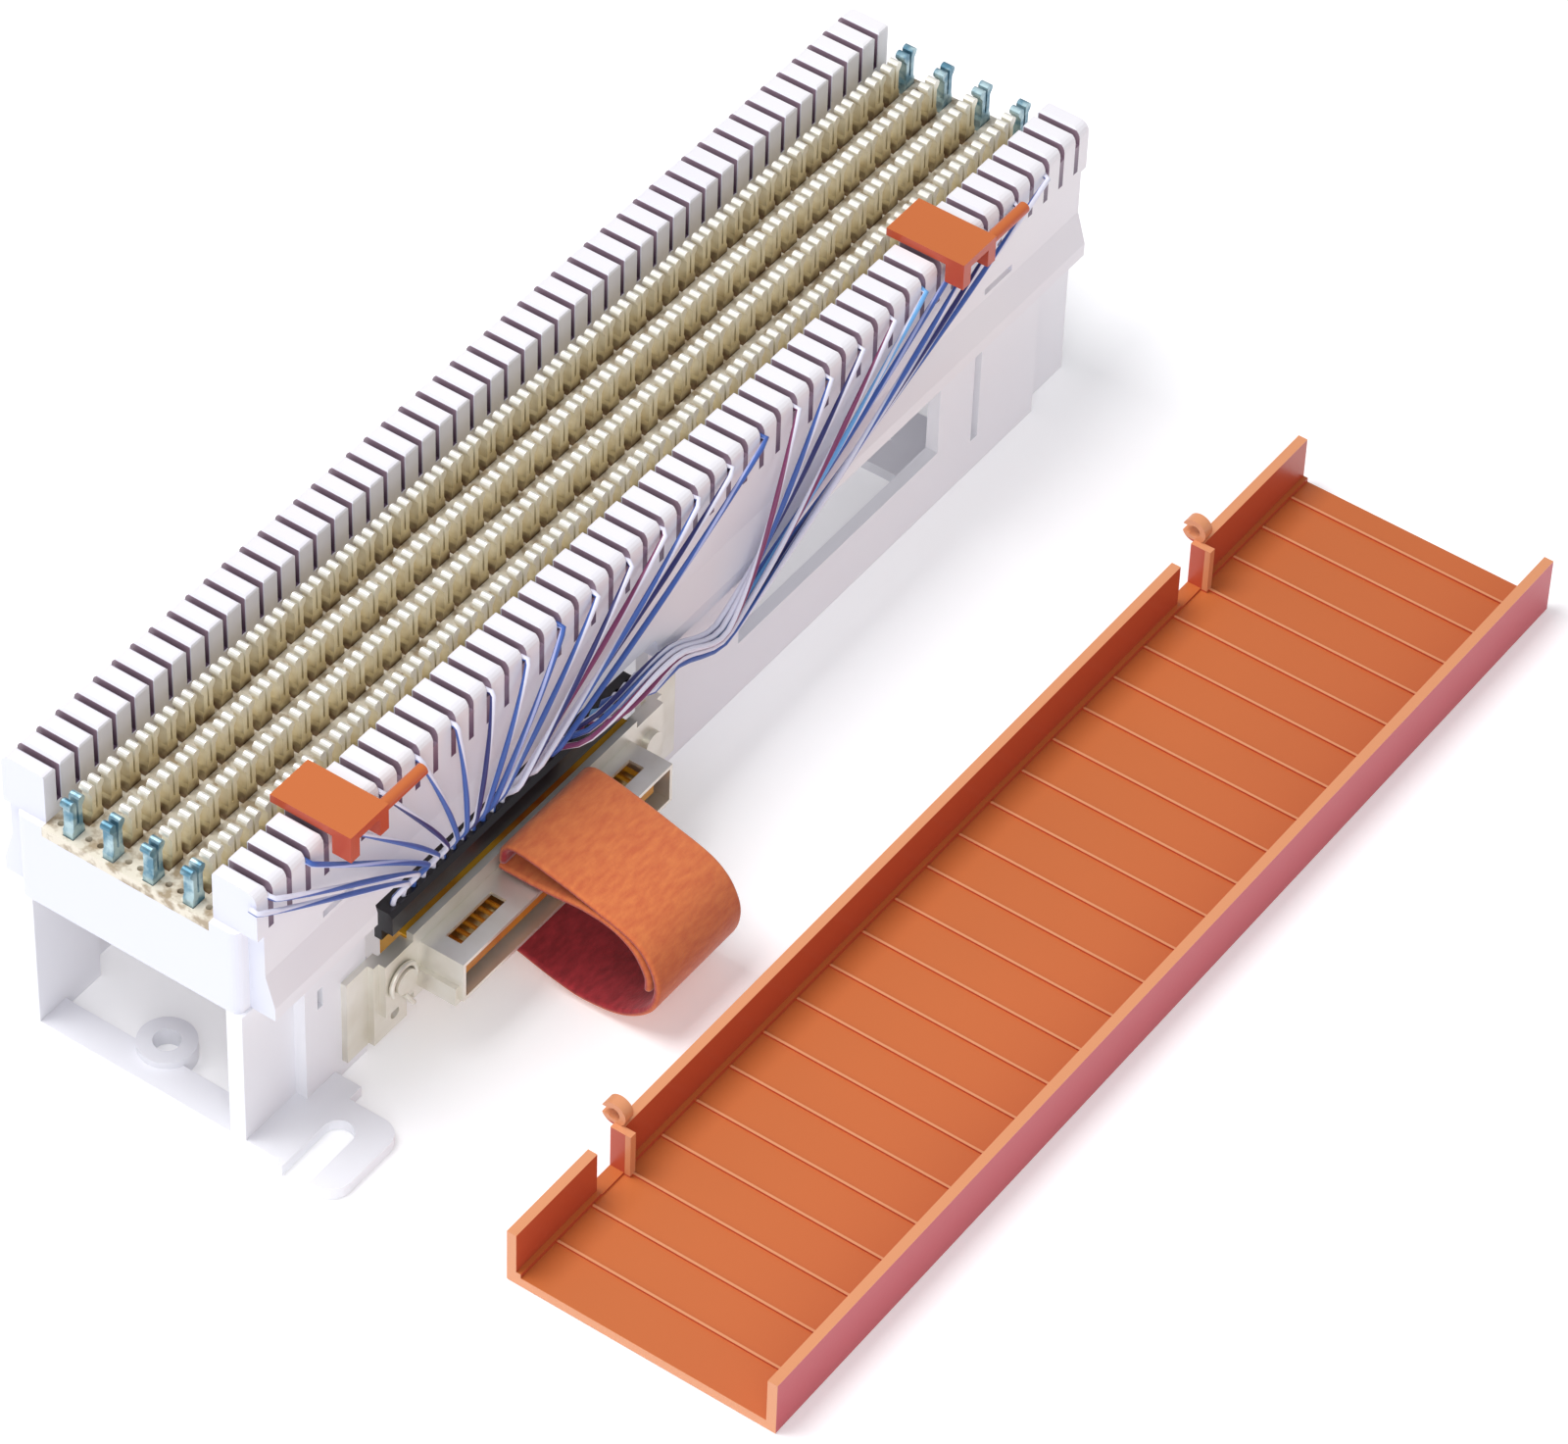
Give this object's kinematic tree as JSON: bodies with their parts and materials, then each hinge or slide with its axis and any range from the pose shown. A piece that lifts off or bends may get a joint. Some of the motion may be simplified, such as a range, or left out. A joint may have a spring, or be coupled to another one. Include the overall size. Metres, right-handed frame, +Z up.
{
  "type": "punch down wiring block",
  "caption": "Punch down wiring block with slotted fanning strips and split clips, on a stand-off bracket with a wired multi-way connector and strap; its orange cover lies apart.",
  "frame": {"origin": "middle of the bracket's base, midway between the two end screw holes", "axes": "+X across the block towards the connector and the cover, +Y along the block, +Z up out of the base"},
  "size_m": [0.1815, 0.256, 0.0671],
  "materials": {
    "white_moulding": "satin",
    "white_bracket": "satin",
    "clip_metal": "satin",
    "orange_moulding": "satin",
    "nickel_shell": "satin",
    "amber_insulator": "satin",
    "contact_metal": "satin",
    "black_moulding": "satin",
    "bright_steel": "satin",
    "orange_strap": "woven",
    "wire_insulation": "satin"
  },
  "bodies": {
    "root": {"block_body": "white_moulding", "clips_left": "clip_metal", "clips_right": "clip_metal", "bracket": "white_bracket", "latch_near": "orange_moulding", "latch_far": "orange_moulding", "cover": "orange_moulding", "connector_shell": "nickel_shell", "connector_insulator": "amber_insulator", "contacts_upper": "contact_metal", "contacts_lower": "contact_metal", "wire_cap": "black_moulding", "ear_bracket_near": "bright_steel", "ear_bracket_far": "bright_steel", "ear_screws": "bright_steel", "bail_wire": "bright_steel", "strap": "orange_strap", "wires_1": "wire_insulation", "wires_2": "wire_insulation", "wires_3": "wire_insulation", "wires_4": "wire_insulation", "wires_5": "wire_insulation"}
  },
  "joints": []
}
